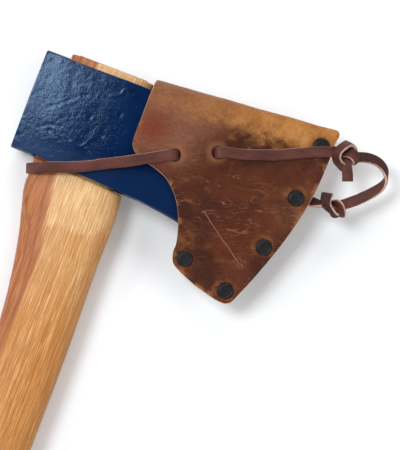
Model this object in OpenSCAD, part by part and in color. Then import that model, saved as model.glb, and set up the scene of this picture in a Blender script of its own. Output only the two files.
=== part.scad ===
// Felling axe with a forged head, a curved hickory handle and a riveted leather sheath,
// which a flat leather lace ties on. The axe lies on its side. Units are millimetres.
//
// Every piece is drawn in the axe's own frame and then laid on the ground. In that frame the
// poll face is at X = 0, the cutting edge is towards +X, the handle runs towards -Y from the
// top of the head at Y = 0, and Z = 0 is the plane midway between the two sides.

/* [Head] */
// Height of the poll face
poll_height = 64; // [55:1:75]
// Half the thickness of the head at the poll face
poll_half = 15.4; // [12:0.1:18]
// Half the thickness of the head at the middle of the eye
eye_half = 16.3; // [14:0.1:19]
// Rounding of the head's long corners
head_corner = 2.6; // [1:0.1:4]
// Where the cheeks end and the blade begins
blade_start = 75; // [70:1:85]
// Corner of the bit nearest the top
toe = [165, 11];
// Corner of the bit nearest the handle
heel = [142, -82];
// Radius of the cutting edge seen from the side
edge_radius = 100; // [80:1:160]

/* [Eye] */
// End of the eye nearest the poll
eye_back = 15.5; // [12:0.5:20]
// End of the eye nearest the bit
eye_front = 68.5; // [60:0.5:72]
// Half the width of the eye
eye_half_width = 10.2; // [8:0.1:12]
// How far the tenon stands out of the top of the head
tenon_proud = 3; // [0:0.1:6]

/* [Wedge] */
// Thickness of the wedge at its top
wedge_top = 5; // [3:0.1:7]
// Thickness of the wedge at its tip
wedge_tip = 1.2; // [0.6:0.1:3]
// Length of the wedge along the eye
wedge_length = 44; // [30:1:50]
// Depth that the wedge is driven
wedge_depth = 44; // [30:1:50]

/* [Handle] */
// Distance from the top of the head to the end of the knob
handle_length = 797; // [600:1:900]

/* [Sheath] */
// Thickness of the leather
leather = 3; // [2:0.1:4]
// Room between the leather and the head
sheath_room = 0.6; // [0.4:0.1:1.5]
// Half the gap between the leaves where rivets close them
closed_gap = 0.15; // [0.1:0.05:0.5]
// Outer radius of a rivet cap
cap_radius = 4.8; // [3:0.1:6]
// Radius of a rivet post
post_radius = 1.7; // [1:0.1:2.5]
// Direction that the sheath leaves the head in, up from +X
slide_angle = 6; // [0:0.5:10]

/* [Lace] */
// Width of the lace
lace_width = 6.6; // [4:0.1:8]
// Thickness of the lace
lace_thickness = 2.2; // [1.5:0.1:3]

/* [Rest] */
// Lean of the axe towards its poll when it lies down
rest_roll = 2.7; // [0:0.1:10]
// Lean of the axe towards its knob when it lies down
rest_pitch = 0.37; // [0:0.01:3]
// Height of the middle plane at the frame's origin
rest_height = 20.08; // [15:0.01:30]
// Middle of the axe along the head and along the handle
rest_centre = [95.62, -390.04];

/* [Hidden] */

small = 0.01;
ring_sides = 32;
cap_facets = 48;

head_blue = [0.05, 0.12, 0.34];
hickory = [0.80, 0.55, 0.30];
wedge_wood = [0.55, 0.38, 0.22];
tan_leather = [0.45, 0.26, 0.14];
rivet_black = [0.06, 0.06, 0.07];
lace_brown = [0.30, 0.14, 0.11];

// Stations along the cheeks: distance from the poll face and half thickness.
cheek_profile = [[0, poll_half], [20, eye_half - 0.3], [42, eye_half], [60, eye_half - 0.2],
    [blade_start, eye_half - 1.2]];
// Half thickness along the blade, as a share of the way from the cheeks to the edge.
blade_profile = [[0, eye_half - 1.2], [0.15, 12], [0.35, 8.3], [0.72, 3.4], [0.96, 0.9], [1, 0.2]];
// Stations of the head's rings along the cheeks, and along the blade as shares.
cheek_stations = [2.4, 8, 15, 24, 34, 44, 54, 64, 70];
blade_stations = [0, 0.08, 0.16, 0.26, 0.38, 0.52, 0.66, 0.8, 0.9, 0.96, 1];
// Chamfer round the poll face: distance from the face and inset.
poll_chamfer = [[0, 2], [0.7, 0.8]];

// The handle from the shoulder down: Y, back, front, half thickness.
handle_stations = [
    [-69, 15.5, 74.5, 12.6],
    [-75, 15.8, 75.4, 12.8],
    [-85, 16.8, 76.2, 13],
    [-112, 24.2, 76, 13.2],
    [-141, 29.4, 76.8, 13.2],
    [-175, 33, 77.8, 13.2],
    [-235, 37.5, 78, 13],
    [-320, 42, 77.5, 12.6],
    [-420, 41, 75, 12.4],
    [-520, 34, 69.5, 12.4],
    [-610, 26.5, 64, 12.4],
    [-680, 24, 62.5, 12.8],
    [-730, 24.5, 66, 13.8],
    [-768, 23, 73, 15.2],
    [2.5 - handle_length, 21.5, 76.5, 15],
];
handle_steps = 3;
grip_fullness = 0.86;
tenon_fullness = 0.8;
shoulder_y = -poll_height - 3;

// Outline of a sheath leaf: a point on the fold and the point of the open edge below it.
leaf_columns = [
    [[69, 6.5], [68.6, -33]],
    [[73, 7], [72, -39]],
    [[79, 7.5], [79, -42.5]],
    [[87, 8.3], [87.5, -44.6]],
    [[95, 9], [95.5, -47.6]],
    [[102, 9.7], [102, -52.8]],
    [[108, 10.2], [107, -59]],
    [[113, 10.7], [111, -66.5]],
    [[117, 11], [114, -75]],
    [[121, 11.4], [115.8, -82.5]],
    [[126, 11.8], [116, -88.5]],
    [[131, 12.3], [118.4, -94.4]],
    [[138, 12.9], [124.5, -98]],
    [[146, 13.7], [134, -101.8]],
    [[154, 14.4], [145, -104.8]],
    [[162, 15.1], [152, -106.2]],
    [[170, 15.8], [156.8, -106.1]],
    [[177, 16.5], [159.8, -104]],
    [[183.4, 17], [161.4, -100.6]],
    [[185.8, 13.8], [163.6, -95]],
];
leaf_bulge = 6.5;
// Shares of a column below the fold, closer together near the open edge.
leaf_shares = [0, 0.05, 0.1, 0.15, 0.21, 0.28, 0.37, 0.47, 0.57, 0.67, 0.78, 0.89, 1];
fold_angles = [22.5, 45, 67.5, 90, 112.5, 135, 157.5];
// The fold is rounder where the head is thicker: its least depth inside, what the head's
// thickness adds to it, and how far below the fold that thickness is taken.
fold_least = 1.2;
fold_share = 0.22;
fold_reach = 6;
// Room kept in front of the edge.
edge_room = 3;
// Where the leather begins to close below the blade, and its slope there.
closing_start = 2.5;
closing_slope = 0.8;

rivets = [[177, 4.5], [174, -30.5], [166.5, -65.5], [154, -98.5], [124, -89]];
cap_height = 1.3;

// The slots that the lace passes through, from the handle's side to the bit's side.
slots = [[96.2, -32.6], [119.5, -22.1]];
slot_length = 7.6;
slot_width = 6.8;
lace_heading = 24;
lace_gap = 0.3;
lace_inner_gap = 1;
lace_bulge = lace_thickness + 1;
lace_bulge_reach = 11;

function unit(v) = v / norm(v);
function mix(a, b, t) = a + (b - a) * t;
function clamp(x, low, high) = min(max(x, low), high);

// Catmull-Rom curve through a list of rows, with a number of steps between two rows.
function row_at(rows, i) = rows[clamp(i, 0, len(rows) - 1)];
function curve_point(rows, i, t) =
    let (a = row_at(rows, i - 1), b = row_at(rows, i), c = row_at(rows, i + 1), d = row_at(rows, i + 2))
    0.5 * (2 * b + (c - a) * t + (2 * a - 5 * b + 4 * c - d) * t ^ 2 + (3 * b - a - 3 * c + d) * t ^ 3);
function smooth_rows(rows, steps) = [
    for (i = [0 : len(rows) - 2], k = [0 : steps - 1]) curve_point(rows, i, k / steps),
    rows[len(rows) - 1]
];

// Triangles of a solid made of rings of the same number of points, closed by flat ends.
function ring_faces(rings, sides) = [
    for (i = [0 : rings - 2], k = [0 : sides - 1])
        let (a = i * sides + k, b = i * sides + (k + 1) % sides)
        each [[a, b, b + sides], [a, b + sides, a + sides]]
];

module loft(rings) {
    sides = len(rings[0]);
    count = len(rings);
    polyhedron(
        points = [for (ring = rings) each ring],
        faces = [
            [for (k = [sides - 1 : -1 : 0]) k],
            [for (k = [0 : sides - 1]) (count - 1) * sides + k],
            each ring_faces(count, sides)
        ],
        convexity = 8
    );
}

// ---- head ----

edge_chord = toe - heel;
edge_across = unit([edge_chord.y, -edge_chord.x]);
edge_centre = (toe + heel) / 2 - edge_across * sqrt(edge_radius ^ 2 - (norm(edge_chord) / 2) ^ 2);

belly_y = -poll_height - 2.8;

function head_top(x) = x < 66 ? 0 : toe.y * ((x - 66) / (toe.x - 66)) ^ 1.15;
function head_bottom(x) =
    x < blade_start
        ? mix(-poll_height, belly_y, (x / blade_start) ^ 1.6)
        : belly_y + (heel.y - belly_y) * ((x - blade_start) / (heel.x - blade_start)) ^ 2;
function edge_x(y) = edge_centre.x + sqrt(edge_radius ^ 2 - (y - edge_centre.y) ^ 2);

// Half thickness of the head over a point of its middle plane.
function head_half(x, y) =
    x < blade_start
        ? lookup(x, cheek_profile)
        : lookup((x - blade_start) / (edge_x(y) - blade_start), blade_profile);

function head_ring(x_of, low, high, inset) =
    let (
        side = [
            for (s = [[0, 1], [0.3, 0.3], [1, 0]]) [low + head_corner * s[0], s[1]],
            for (s = [0.2 : 0.2 : 0.81]) [mix(low + head_corner, high - head_corner, s), 0],
            for (s = [[1, 0], [0.3, 0.3], [0, 1]]) [high - head_corner * s[0], s[1]]
        ],
        front = [
            for (p = side)
                let (x = x_of(p[0]), half = head_half(x, p[0]))
                [x, p[0], half - inset - min(head_corner, half * 0.45) * p[1]]
        ],
        count = len(front)
    )
    concat(front, [for (i = [count - 1 : -1 : 0]) [front[i].x, front[i].y, -front[i].z]]);

head_rings = [
    for (c = poll_chamfer)
        head_ring(function (y) c[0], head_bottom(0) + c[1], -c[1], c[1]),
    for (x = cheek_stations)
        head_ring(function (y) x, head_bottom(x), head_top(x), 0),
    for (s = blade_stations)
        head_ring(
            function (y) mix(blade_start, edge_x(y), s),
            head_bottom(mix(blade_start, heel.x, s)),
            head_top(mix(blade_start, toe.x, s)),
            0
        )
];

// Oval section of the wood at a height y, between a back and a front edge.
function oval(y, back, front, half, fullness) = [
    for (k = [0 : ring_sides - 1])
        let (a = -360 * k / ring_sides, c = cos(a), s = sin(a))
        [
            (back + front) / 2 + (front - back) / 2 * sign(c) * abs(c) ^ fullness,
            y,
            half * sign(s) * abs(s) ^ fullness
        ]
];
function tenon_ring(y) = oval(y, eye_back, eye_front, eye_half_width, tenon_fullness);

module axe_head() {
    color(head_blue)
        difference() {
            loft(head_rings);
            loft([tenon_ring(20), tenon_ring(-100)]);
        }
}

// ---- handle and wedge ----

tenon_rings = [
    oval(tenon_proud, eye_back + 1, eye_front - 1, eye_half_width - 1, tenon_fullness),
    tenon_ring(tenon_proud - 1),
    tenon_ring(shoulder_y),
    oval(shoulder_y - 0.2, eye_back, eye_front + 5, eye_half_width + 1.8, grip_fullness)
];
knob_rings = [
    oval(0.6 - handle_length, 22.5, 75.6, 14, grip_fullness),
    oval(-handle_length, 25, 73, 12, grip_fullness)
];

module wedge_shape() {
    translate([(eye_back + eye_front - wedge_length) / 2, 0, 0])
        rotate([90, 0, 90])
            linear_extrude(wedge_length)
                polygon([
                    [tenon_proud + 0.6, -wedge_top / 2],
                    [tenon_proud + 0.6, wedge_top / 2],
                    [-wedge_depth, wedge_tip / 2],
                    [-wedge_depth, -wedge_tip / 2]
                ]);
}

module handle() {
    color(hickory)
        difference() {
            loft([
                each tenon_rings,
                for (row = smooth_rows(handle_stations, handle_steps))
                    oval(row[0], row[1], row[2], row[3], grip_fullness),
                each knob_rings
            ]);
            wedge_shape();
        }
}

module eye_wedge() {
    color(wedge_wood)
        wedge_shape();
}

// ---- sheath ----

slide_step = 6;
slide_way = [cos(slide_angle), sin(slide_angle)];

// Half the room that the head needs at a point, with the leather closing below the blade.
function head_room(x, y) =
    let (low = head_bottom(min(x, heel.x)), level = clamp(y, low, head_top(min(x, toe.x))))
    x > edge_x(clamp(level, heel.y, toe.y)) + edge_room
        ? 0
        : head_half(x, level) + sheath_room - closing_slope * max(0, low - closing_start - y);
// Bulge of the leather over the lace between the slots.
function lace_room(x, y) =
    let (across = slots[1] - slots[0], t = clamp(([x, y] - slots[0]) * across / (across * across), 0, 1))
    lace_bulge * exp(-(norm([x, y] - slots[0] - across * t) / lace_bulge_reach) ^ 2 * 1.6);
function leaf_inner(x, y) =
    max([
        closed_gap,
        for (i = [0 : 16])
            head_room(x + slide_way.x * i * slide_step, y + slide_way.y * i * slide_step)
    ]) + lace_room(x, y);
function leaf_outer(x, y) = leaf_inner(x, y) + leather;

// Ring of the folded leather along one column: the outer skin from the front edge over the
// fold to the back edge, then the inner skin the same way back.
function column_ring(u) =
    let (
        column = leaf_columns[u],
        share = u / (len(leaf_columns) - 1),
        along = unit(column[0] - column[1]),
        guess = column[0] - along * fold_reach,
        depth = leather + fold_least + fold_share * leaf_inner(guess.x, guess.y),
        centre = column[0] - along * depth,
        leaf = [
            for (v = leaf_shares)
                mix(column[1], centre, v) + [leaf_bulge * share ^ 2 * 4 * v * (1 - v), 0]
        ],
        room = leaf_inner(centre.x, centre.y),
        arc = function (wide, deep) [
            for (a = fold_angles)
                let (p = centre + along * deep * sin(a))
                [p.x, p.y, wide * cos(a)]
        ],
        front_outer = [for (p = leaf) [p.x, p.y, leaf_outer(p.x, p.y)]],
        front_inner = [for (p = leaf) [p.x, p.y, leaf_inner(p.x, p.y)]],
        count = len(leaf),
        outer_arc = arc(room + leather, depth),
        inner_arc = arc(room, depth - leather),
        turns = len(fold_angles)
    )
    [
        each front_outer,
        each outer_arc,
        for (i = [count - 1 : -1 : 0]) [front_outer[i].x, front_outer[i].y, -front_outer[i].z],
        for (i = [0 : count - 1]) [front_inner[i].x, front_inner[i].y, -front_inner[i].z],
        for (i = [turns - 1 : -1 : 0]) inner_arc[i],
        for (i = [count - 1 : -1 : 0]) front_inner[i]
    ];

// The ends are strips between the outer and the inner skin.
module folded_leather() {
    rings = [for (u = [0 : len(leaf_columns) - 1]) column_ring(u)];
    sides = len(rings[0]);
    half = sides / 2;
    last = (len(rings) - 1) * sides;
    polyhedron(
        points = [for (ring = rings) each ring],
        faces = [
            each ring_faces(len(rings), sides),
            for (k = [0 : half - 2])
                let (a = k, b = k + 1, c = sides - 2 - k, d = sides - 1 - k)
                each [[a, d, c], [a, c, b], [last + a, last + c, last + d], [last + a, last + b, last + c]]
        ],
        convexity = 8
    );
}

module at_rivets() {
    for (p = rivets)
        translate([p.x, p.y, 0])
            children();
}

module slot_cut() {
    for (p = slots)
        translate([p.x, p.y, 0])
            rotate([0, 0, lace_heading])
                linear_extrude(60, center = true)
                    hull()
                        for (side = [-1, 1])
                            translate([0, side * (slot_length - slot_width) / 2])
                                circle(d = slot_width, $fn = 24);
}

module sheath_leather() {
    color(tan_leather)
        difference() {
            folded_leather();
            slot_cut();
            at_rivets()
                cylinder(r = post_radius, h = 20, center = true, $fn = cap_facets);
        }
}

leaf_face = closed_gap + leather;

module cap() {
    rotate_extrude($fn = cap_facets)
        polygon([
            [0, 0],
            [cap_radius, 0],
            [cap_radius, 0.5],
            [cap_radius - 0.3, 1.1],
            [cap_radius - 0.8, cap_height],
            [cap_radius - 1.2, cap_height - 0.2],
            [0, cap_height - 0.2]
        ]);
}

module rivet_studs() {
    color(rivet_black)
        at_rivets() {
            translate([0, 0, leaf_face])
                cap();
            translate([0, 0, -leaf_face])
                cylinder(r = post_radius, h = 2 * leaf_face + small, $fn = cap_facets);
        }
}

module rivet_back_caps() {
    color(rivet_black)
        at_rivets()
            translate([0, 0, -leaf_face])
                rotate([180, 0, 0])
                    cap();
}

// ---- lace ----

lace_half = lace_thickness / 2;

// Route points: x, y, z, heading of the lace seen from above, roll of its width out of level.
function over(x, y, side) = [x, y, side * (leaf_outer(x, y) + lace_gap + lace_half), lace_heading, 0];
function under(x, y, side) = [x, y, side * (head_half(x, y) + lace_inner_gap + lace_half), lace_heading, 0];

// The lace dips through a slot over a short way on each side of the slot's middle.
dip_reach = 2.6;
lace_way = [cos(lace_heading), sin(lace_heading)];
function through_slot(slot, towards, side) =
    let (high = slot + lace_way * towards * dip_reach, low = slot - lace_way * towards * dip_reach)
    [over(high.x, high.y, side), under(low.x, low.y, side)];
function backwards(list) = [for (i = [len(list) - 1 : -1 : 0]) list[i]];

// The lace is taut from the mouth of the sheath to the lower edge of the head.
taut_places = [[80, -41.2], [71.1, -46.3], [58.6, -52.9], [47.8, -58.7], [36.5, -63.4], [29.6, -66]];
taut_start = over(74, -42.4, 1)[2];
taut_end = 17.7;
function taut_run(side) = [
    for (i = [0 : len(taut_places) - 1])
        let (height = mix(taut_start, taut_end, i / (len(taut_places) - 1)))
        [taut_places[i].x, taut_places[i].y, side * height, lace_heading + 3, 0]
];

function side_run(side) = [
    over(136, -16.8, side),
    over(128, -19.2, side),
    over(124.4, -20.3, side),
    each through_slot(slots[1], 1, side),
    under(108, -27, side),
    each backwards(through_slot(slots[0], -1, side)),
    over(91, -35, side),
    over(86.5, -37.5, side),
    each taut_run(side),
    [24.4, -68.6, side * 14.2, lace_heading, 0],
    [18.8, -71, side * 9.6, lace_heading - 6, 0],
    [15, -72.3, side * 5, 8, 0],
    [13.8, -72.6, side * 2, 2, 0]
];

over_cap = leaf_face + cap_height + lace_gap + lace_half;
lace_route = [
    [187.6, 4.8, 3.2, lace_heading, 0],
    [183, 3, over_cap, lace_heading, 0],
    [176, 0.4, over_cap, lace_heading, 0],
    over(168, -3.4, 1),
    over(152, -11, 1),
    each side_run(1),
    each backwards(side_run(-1)),
    over(151, -22.6, -1),
    over(166, -26.8, -1),
    [174, -28.2, -over_cap, lace_heading - 20, 0],
    [182, -29, -5.2, lace_heading - 24, -25],
    [191, -28.4, -3, lace_heading - 22, -75]
];

loop_route = [
    [198.4, 5.6, -0.2, 12, -12],
    [203, 7.3, -0.2, 12, -24],
    [208.2, 8.4, -0.8, 2, -34],
    [213.8, 8, -2.2, -16, -44],
    [218.9, 5.2, -4.2, -42, -60],
    [221.5, 0.4, -6, -82, -92],
    [220.4, -5.2, -6.8, -114, -128],
    [216.4, -10.8, -6.4, -130, -150],
    [211.2, -16.4, -5.4, -134, -160],
    [206.4, -20.8, -4.2, -138, -166],
    [202.2, -24.2, -3.2, -142, -168]
];
tail_route = [
    [193, 2, 2.6, -60, 0],
    [196, 0, 3, -70, 0],
    [198, -4, 2.4, -74, 0],
    [199.6, -9.6, 1, -76, 0]
];

// Ring round a flat lace at one point of a route.
function lace_ring(route, i) =
    let (
        p = route[i],
        before = route[max(i - 1, 0)],
        after = route[min(i + 1, len(route) - 1)],
        way = unit([after.x - before.x, after.y - before.y, after.z - before.z]),
        level = [-sin(p[3]) * cos(p[4]), cos(p[3]) * cos(p[4]), sin(p[4])],
        across = unit(level - way * (level * way)),
        up = cross(way, across),
        cut = lace_half * 0.5
    )
    [
        for (c = [
            [-lace_width / 2, cut], [cut - lace_width / 2, lace_half],
            [lace_width / 2 - cut, lace_half], [lace_width / 2, cut],
            [lace_width / 2, -cut], [lace_width / 2 - cut, -lace_half],
            [cut - lace_width / 2, -lace_half], [-lace_width / 2, -cut]
        ])
            [p.x, p.y, p.z] + across * c[0] + up * c[1]
    ];

module ribbon(route, steps) {
    fine = smooth_rows(route, steps);
    loft([for (i = [0 : len(fine) - 1]) lace_ring(fine, i)]);
}

module lace() {
    color(lace_brown)
        ribbon(lace_route, 2);
}

module lace_loop() {
    color(lace_brown)
        ribbon(loop_route, 3);
}

module lace_turn(radius) {
    rotate_extrude($fn = cap_facets)
        translate([radius, 0])
            polygon([
                [-lace_half, -lace_width / 2 + 1],
                [0, -lace_width / 2],
                [lace_half, -lace_width / 2 + 1],
                [lace_half, lace_width / 2 - 1],
                [0, lace_width / 2],
                [-lace_half, lace_width / 2 - 1]
            ]);
}

// A turn of lace round the strands that pass through it.
module knot_turn(at, turn, radius) {
    translate(at)
        rotate(turn)
            lace_turn(radius);
}

module knot_upper() {
    color(lace_brown) {
        knot_turn([191.6, 4.6, 1], [0, 90, 115], 4.8);
        knot_turn([195, 5, 0.8], [0, 90, 50], 4.8);
        translate([188.4, 4.8, 0.8])
            rotate([0, 90, 8])
                cylinder(r = 4, h = 9.6, $fn = cap_facets);
        ribbon(tail_route, 2);
    }
}

module knot_lower() {
    color(lace_brown) {
        knot_turn([193.6, -27, -2.8], [0, 90, 85], 4.2);
        knot_turn([199.4, -27, -2.8], [0, 90, 130], 4.4);
        translate([191.4, -27.4, -2.8])
            rotate([0, 90, 5])
                cylinder(r = 3.6, h = 10.4, $fn = cap_facets);
    }
}

module laid_down() {
    translate([0, 0, rest_height])
        rotate([rest_pitch, -rest_roll, 0])
            translate([-rest_centre.x, -rest_centre.y, 0])
                children();
}

laid_down() axe_head();
laid_down() handle();
laid_down() eye_wedge();
laid_down() sheath_leather();
laid_down() rivet_studs();
laid_down() rivet_back_caps();
laid_down() lace();
laid_down() lace_loop();
laid_down() knot_upper();
laid_down() knot_lower();
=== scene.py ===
"""Looks of the felling axe: forged painted head, hickory handle, riveted leather sheath and its lace.

The axe is drawn in its own frame, in millimetres, as part.scad draws it. The poll face is at x = 0, the
edge is towards +x, the handle runs towards -y, and z = 0 is the plane midway between the two sides. Each
mesh keeps its place in that frame in the attribute "axe", which the materials read.
"""
import functools
import math

import bmesh
import bpy
import numpy as np
from mathutils import Matrix, Vector, kdtree, noise


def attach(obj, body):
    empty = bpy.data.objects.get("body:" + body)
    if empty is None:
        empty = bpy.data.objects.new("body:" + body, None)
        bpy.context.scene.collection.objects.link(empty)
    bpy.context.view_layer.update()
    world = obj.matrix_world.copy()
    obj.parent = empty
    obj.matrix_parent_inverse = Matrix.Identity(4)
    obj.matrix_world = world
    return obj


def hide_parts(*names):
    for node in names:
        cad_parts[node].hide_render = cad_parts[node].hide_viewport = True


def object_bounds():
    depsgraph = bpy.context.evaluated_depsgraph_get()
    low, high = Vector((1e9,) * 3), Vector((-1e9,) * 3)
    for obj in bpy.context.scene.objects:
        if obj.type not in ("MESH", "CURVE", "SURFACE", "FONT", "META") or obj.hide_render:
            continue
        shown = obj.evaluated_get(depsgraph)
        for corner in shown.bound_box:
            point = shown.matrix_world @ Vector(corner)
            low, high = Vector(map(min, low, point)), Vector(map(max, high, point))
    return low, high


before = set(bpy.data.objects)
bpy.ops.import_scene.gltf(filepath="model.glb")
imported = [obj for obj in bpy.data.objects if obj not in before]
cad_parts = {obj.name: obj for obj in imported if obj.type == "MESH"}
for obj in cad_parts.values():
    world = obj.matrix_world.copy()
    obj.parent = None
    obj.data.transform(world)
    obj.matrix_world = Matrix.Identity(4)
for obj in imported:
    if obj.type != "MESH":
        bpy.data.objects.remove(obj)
CAD_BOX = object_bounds()

# ---- placement and camera ----

REST_ROLL, REST_PITCH, REST_HEIGHT = 2.7, 0.37, 20.08
REST_CENTRE = np.array([95.62, -390.04, 0.0])
LAID = Matrix.Rotation(math.radians(-REST_ROLL), 3, "Y") @ Matrix.Rotation(math.radians(REST_PITCH), 3, "X")

VIEW_CENTRE = [125.3, -66.7, 0.0]
VIEW_RIGHT = [0.93358, 0.35837, 0.0]
VIEW_UP = [-0.35837, 0.93358, 0.0]
VIEW_HEIGHT = 274.5
VIEW_DISTANCE = 1500.0


def laid_down(points):
    """Points of the axe's frame, in millimetres, as row-frame metres."""
    return ((np.asarray(points, float) - REST_CENTRE) @ np.array(LAID).T + [0, 0, REST_HEIGHT]) / 1000


def lifted(points):
    """Row-frame metres as points of the axe's frame, in millimetres."""
    return (np.asarray(points, float) * 1000 - [0, 0, REST_HEIGHT]) @ np.array(LAID) + REST_CENTRE


def facing(place, right, up):
    """A row-frame matrix at a place, whose x and y axes are two directions of the axe's frame."""
    x, y = (LAID @ Vector(v) for v in (right, up))
    turned = Matrix((x, y, x.cross(y))).transposed().to_4x4()
    return Matrix.Translation(Vector(laid_down(place))) @ turned


def placed(name, data):
    """A new object of the scene."""
    made = bpy.data.objects.new(name, data)
    bpy.context.scene.collection.objects.link(made)
    return made


def make_camera():
    data = bpy.data.cameras.new("Camera")
    data.sensor_width = 36
    data.lens = data.sensor_width * VIEW_DISTANCE / VIEW_HEIGHT
    camera = placed("Camera", data)
    camera.matrix_world = facing(np.add(VIEW_CENTRE, [0, 0, VIEW_DISTANCE]), VIEW_RIGHT, VIEW_UP)
    bpy.context.scene.camera = camera


make_camera()

# ---- small tools ----


def unit(v):
    return v / np.maximum(np.linalg.norm(v, axis=-1, keepdims=True), 1e-9)


def step(low, high, x):
    """0 below low, 1 above high, and a smooth rise between them."""
    t = np.clip((x - low) / (high - low), 0, 1)
    return t * t * (3 - 2 * t)


def smooth_rows(rows, steps):
    """A Catmull-Rom curve through rows of numbers, with a number of steps between two rows."""
    rows = np.asarray(rows, float)
    padded = np.vstack([rows[:1], rows, rows[-1:]])
    t = (np.arange(steps) / steps)[:, None]
    spans = []
    for a, b, c, d in zip(padded, padded[1:], padded[2:], padded[3:]):
        bend, twist = 2 * a - 5 * b + 4 * c - d, 3 * b - a - 3 * c + d
        spans.append(0.5 * (2 * b + (c - a) * t + bend * t**2 + twist * t**3))
    return np.vstack([*spans, rows[-1:]])


def noise_at(points, size, octaves, seed=0.0):
    """Fractal noise, about -1 to 1, with its largest features of a size in millimetres."""
    places = np.asarray(points, float) / size + seed
    return np.array([noise.fractal(p, 1.0, 2.0, octaves) for p in places.tolist()])


def ridges_at(points, size, octaves):
    """Ridged noise, about 0 to 1."""
    places = np.asarray(points, float) / size
    return np.array([noise.ridged_multi_fractal(p, 0.9, 2.1, octaves, 1.0, 1.6) for p in places.tolist()]) / 2


def distance_to(points, route):
    """Distance in the mid-plane from points to a line through places [x, y]."""
    near = np.full(len(points), 1e9)
    for a, b in zip(np.asarray(route, float), np.asarray(route, float)[1:]):
        way = b - a
        t = np.clip(((points[:, :2] - a) @ way) / (way @ way), 0, 1)
        near = np.minimum(near, np.linalg.norm(points[:, :2] - a - t[:, None] * way, axis=1))
    return near


def loft_faces(rings, sides):
    """Quads between neighbouring rings of the same number of points."""
    i, k = np.meshgrid(np.arange(rings - 1), np.arange(sides), indexing="ij")
    a, b = (i * sides + k).ravel(), (i * sides + (k + 1) % sides).ravel()
    return np.stack([a, b, b + sides, a + sides], axis=1).tolist()


def loft(rings, ends=(True, True)):
    """Points and faces of a closed solid through rings shaped (rings, sides, 3)."""
    count, sides = rings.shape[:2]
    faces = loft_faces(count, sides)
    if ends[0]:
        faces.append(list(range(sides))[::-1])
    if ends[1]:
        faces.append([(count - 1) * sides + k for k in range(sides)])
    return rings.reshape(-1, 3), faces


def joined(parts):
    """Points and faces of several solids as one."""
    points, faces, start = [], [], 0
    for these, quads in parts:
        points.append(these)
        faces += [[start + v for v in q] for q in quads]
        start += len(these)
    return np.vstack(points), faces


def set_mark(mesh, name, values):
    """Stores a number or a vector for each vertex."""
    values = np.asarray(values, float)
    kind, field = ("FLOAT", "value") if values.ndim == 1 else ("FLOAT_VECTOR", "vector")
    mark = mesh.attributes.new(name, kind, "POINT")
    mark.data.foreach_set(field, values.ravel())


def turn_outward(mesh):
    """Turns a closed mesh's faces the right way out."""
    shell = bmesh.new()
    shell.from_mesh(mesh)
    if shell.calc_volume(signed=True) < 0:
        bmesh.ops.reverse_faces(shell, faces=shell.faces[:])
    shell.to_mesh(mesh)
    shell.free()


def make_object(name, points, faces, relief=None, marks=None):
    """A smooth mesh object of the axe's frame, laid down, with its surface raised by relief(points)."""
    points = np.asarray(points, float)
    mesh = bpy.data.meshes.new(name)
    mesh.from_pydata(points.tolist(), [], faces)
    turn_outward(mesh)
    if relief is not None:
        normals = np.empty(len(points) * 3)
        mesh.vertex_normals.foreach_get("vector", normals)
        points = points + normals.reshape(-1, 3) * relief(points)[:, None]
    mesh.vertices.foreach_set("co", laid_down(points).ravel())
    for mark, values in (marks or {}).items():
        set_mark(mesh, mark, values)
    mesh.polygons.foreach_set("use_smooth", np.ones(len(mesh.polygons), bool))
    mesh.update()
    return placed(name, mesh)


def vertex_places(mesh):
    places = np.empty(len(mesh.vertices) * 3)
    mesh.vertices.foreach_get("co", places)
    return places.reshape(-1, 3)


def get_mark(mesh, name):
    values = np.empty(len(mesh.vertices))
    mesh.attributes[name].data.foreach_get("value", values)
    return values


def cut_away(piece, tool, marks=()):
    """Cuts a closed tool out of a piece and removes the tool. The marks named keep their values."""
    before = vertex_places(piece.data)
    values = {name: get_mark(piece.data, name) for name in marks}
    cut = piece.modifiers.new("cut", "BOOLEAN")
    cut.operation, cut.solver, cut.object = "DIFFERENCE", "EXACT", tool
    bpy.context.view_layer.update()
    cut_mesh = bpy.data.meshes.new_from_object(piece.evaluated_get(bpy.context.evaluated_depsgraph_get()))
    piece.modifiers.clear()
    piece.data = cut_mesh
    bpy.data.objects.remove(tool)
    tree = kdtree.KDTree(len(before))
    for index, place in enumerate(before.tolist()):
        tree.insert(place, index)
    tree.balance()
    nearest = [tree.find(place)[1] for place in vertex_places(cut_mesh).tolist()] if marks else []
    for name, kept in values.items():
        cut_mesh.attributes.remove(cut_mesh.attributes[name])
        set_mark(cut_mesh, name, kept[nearest])


def finish_piece(piece, material, body, slot, *nodes):
    """Gives a piece its material and its body, and hides the CAD nodes that it stands for. The slot is not
    used.
    """
    piece.data.materials.clear()
    piece.data.materials.append(material)
    set_mark(piece.data, "axe", lifted(vertex_places(piece.data)))
    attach(piece, body)
    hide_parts(*nodes)
    return piece


# ---- material tools ----


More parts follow.
